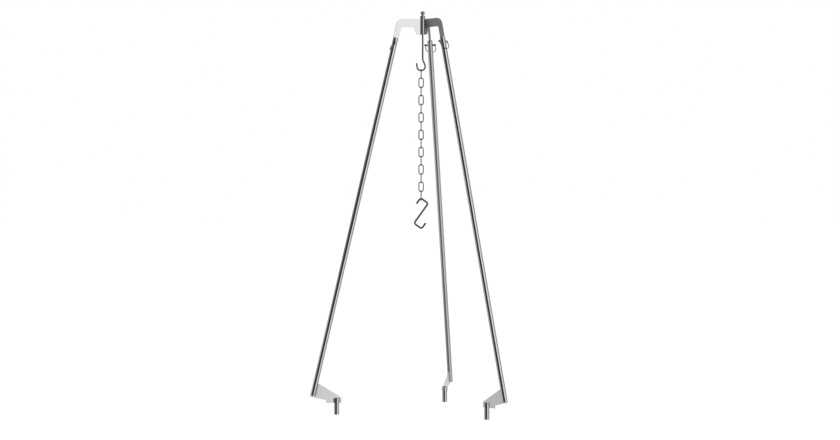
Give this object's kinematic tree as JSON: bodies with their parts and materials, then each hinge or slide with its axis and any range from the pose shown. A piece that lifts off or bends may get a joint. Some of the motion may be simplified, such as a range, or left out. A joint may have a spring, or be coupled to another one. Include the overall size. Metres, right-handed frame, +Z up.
{
  "type": "cooking tripod",
  "caption": "Free-standing steel cooking tripod: tube legs on a plate hub, with a swivelling hook, a chain and an S hook to hang a pot over a fire.",
  "frame": {"origin": "middle of the footprint's box, on the ground under the three pegs", "axes": "+Z up, -Y towards the front, +X to the right as seen from the front"},
  "size_m": [0.7314, 0.7334, 1.5223],
  "materials": {
    "polished_tube": "polished",
    "satin_plate": "satin",
    "turned_steel": "polished",
    "bright_wire": "bright drawn"
  },
  "bodies": {
    "frame": {"hub_sleeve": "polished_tube", "hub_arm_rear": "satin_plate", "leg_tube_rear": "polished_tube", "foot_plate_rear": "satin_plate", "foot_socket_rear": "polished_tube", "foot_peg_rear": "turned_steel", "hub_arm_right": "satin_plate", "leg_tube_right": "polished_tube", "foot_plate_right": "satin_plate", "foot_socket_right": "polished_tube", "foot_peg_right": "turned_steel", "hub_arm_left": "satin_plate", "leg_tube_left": "polished_tube", "foot_plate_left": "satin_plate", "foot_socket_left": "polished_tube", "foot_peg_left": "turned_steel"},
    "hook": {"hook_rod": "bright_wire", "stop_collar": "turned_steel", "top_knob": "turned_steel"},
    "pin_rear": {"lock_pin_rear": "turned_steel", "pin_bail_rear": "bright_wire"},
    "pin_right": {"lock_pin_right": "turned_steel", "pin_bail_right": "bright_wire"},
    "pin_left": {"lock_pin_left": "turned_steel", "pin_bail_left": "bright_wire"},
    "link_01": {"chain_link_01": "bright_wire"},
    "link_02": {"chain_link_02": "bright_wire"},
    "link_03": {"chain_link_03": "bright_wire"},
    "link_04": {"chain_link_04": "bright_wire"},
    "link_05": {"chain_link_05": "bright_wire"},
    "link_06": {"chain_link_06": "bright_wire"},
    "link_07": {"chain_link_07": "bright_wire"},
    "link_08": {"chain_link_08": "bright_wire"},
    "link_09": {"chain_link_09": "bright_wire"},
    "link_10": {"chain_link_10": "bright_wire"},
    "link_11": {"chain_link_11": "bright_wire"},
    "link_12": {"chain_link_12": "bright_wire"},
    "link_13": {"chain_link_13": "bright_wire"},
    "link_14": {"chain_link_14": "bright_wire"},
    "link_15": {"chain_link_15": "bright_wire"},
    "s_hook": {"s_hook": "bright_wire"}
  },
  "joints": [
    {"name": "hook_swivel", "type": "hinge", "parent": "frame", "child": "hook", "pos_m": [0.05616, -0.054, 1.46], "axis": [0, 0, 1], "continuous": true},
    {"name": "pin_rear_turn", "type": "hinge", "parent": "frame", "child": "pin_rear", "pos_m": [0.08485, 0.05086, 1.40153], "axis": [0.9646, -0.2639, 0], "range_deg": [0, 130]},
    {"name": "pin_right_turn", "type": "hinge", "parent": "frame", "child": "pin_right", "pos_m": [0.13263, -0.13128, 1.40153], "axis": [-0.7108, -0.7034, 0], "range_deg": [0, 130]},
    {"name": "pin_left_turn", "type": "hinge", "parent": "frame", "child": "pin_left", "pos_m": [-0.049, -0.08159, 1.40153], "axis": [-0.2538, 0.9673, 0], "range_deg": [0, 130]},
    {"name": "link_01_swing", "type": "hinge", "parent": "hook", "child": "link_01", "pos_m": [0.05016, -0.054, 1.297], "axis": [1, 0, 0], "range_deg": [-90, 90]},
    {"name": "link_02_swing", "type": "hinge", "parent": "link_01", "child": "link_02", "pos_m": [0.05016, -0.054, 1.2651], "axis": [0, 1, 0], "range_deg": [-90, 90]},
    {"name": "link_03_swing", "type": "hinge", "parent": "link_02", "child": "link_03", "pos_m": [0.05016, -0.054, 1.2322], "axis": [-1, 0, 0], "range_deg": [-90, 90]},
    {"name": "link_04_swing", "type": "hinge", "parent": "link_03", "child": "link_04", "pos_m": [0.05016, -0.054, 1.1993], "axis": [0, -1, 0], "range_deg": [-90, 90]},
    {"name": "link_05_swing", "type": "hinge", "parent": "link_04", "child": "link_05", "pos_m": [0.05016, -0.054, 1.1664], "axis": [-1, 0, 0], "range_deg": [-90, 90]},
    {"name": "link_06_swing", "type": "hinge", "parent": "link_05", "child": "link_06", "pos_m": [0.05016, -0.054, 1.1335], "axis": [0, -1, 0], "range_deg": [-90, 90]},
    {"name": "link_07_swing", "type": "hinge", "parent": "link_06", "child": "link_07", "pos_m": [0.05016, -0.054, 1.1006], "axis": [1, 0, 0], "range_deg": [-90, 90]},
    {"name": "link_08_swing", "type": "hinge", "parent": "link_07", "child": "link_08", "pos_m": [0.05016, -0.054, 1.0677], "axis": [0, 1, 0], "range_deg": [-90, 90]},
    {"name": "link_09_swing", "type": "hinge", "parent": "link_08", "child": "link_09", "pos_m": [0.05016, -0.054, 1.0348], "axis": [1, 0, 0], "range_deg": [-90, 90]},
    {"name": "link_10_swing", "type": "hinge", "parent": "link_09", "child": "link_10", "pos_m": [0.05016, -0.054, 1.0019], "axis": [0, 1, 0], "range_deg": [-90, 90]},
    {"name": "link_11_swing", "type": "hinge", "parent": "link_10", "child": "link_11", "pos_m": [0.05016, -0.054, 0.969], "axis": [-1, 0, 0], "range_deg": [-90, 90]},
    {"name": "link_12_swing", "type": "hinge", "parent": "link_11", "child": "link_12", "pos_m": [0.05016, -0.054, 0.9361], "axis": [0, -1, 0], "range_deg": [-90, 90]},
    {"name": "link_13_swing", "type": "hinge", "parent": "link_12", "child": "link_13", "pos_m": [0.05016, -0.054, 0.9032], "axis": [-1, 0, 0], "range_deg": [-90, 90]},
    {"name": "link_14_swing", "type": "hinge", "parent": "link_13", "child": "link_14", "pos_m": [0.05016, -0.054, 0.8703], "axis": [0, -1, 0], "range_deg": [-90, 90]},
    {"name": "link_15_swing", "type": "hinge", "parent": "link_14", "child": "link_15", "pos_m": [0.05016, -0.054, 0.8374], "axis": [1, 0, 0], "range_deg": [-90, 90]},
    {"name": "s_hook_swing", "type": "hinge", "parent": "link_15", "child": "s_hook", "pos_m": [0.05016, -0.054, 0.8045], "axis": [0, 1, 0], "range_deg": [-75, 75]}
  ]
}
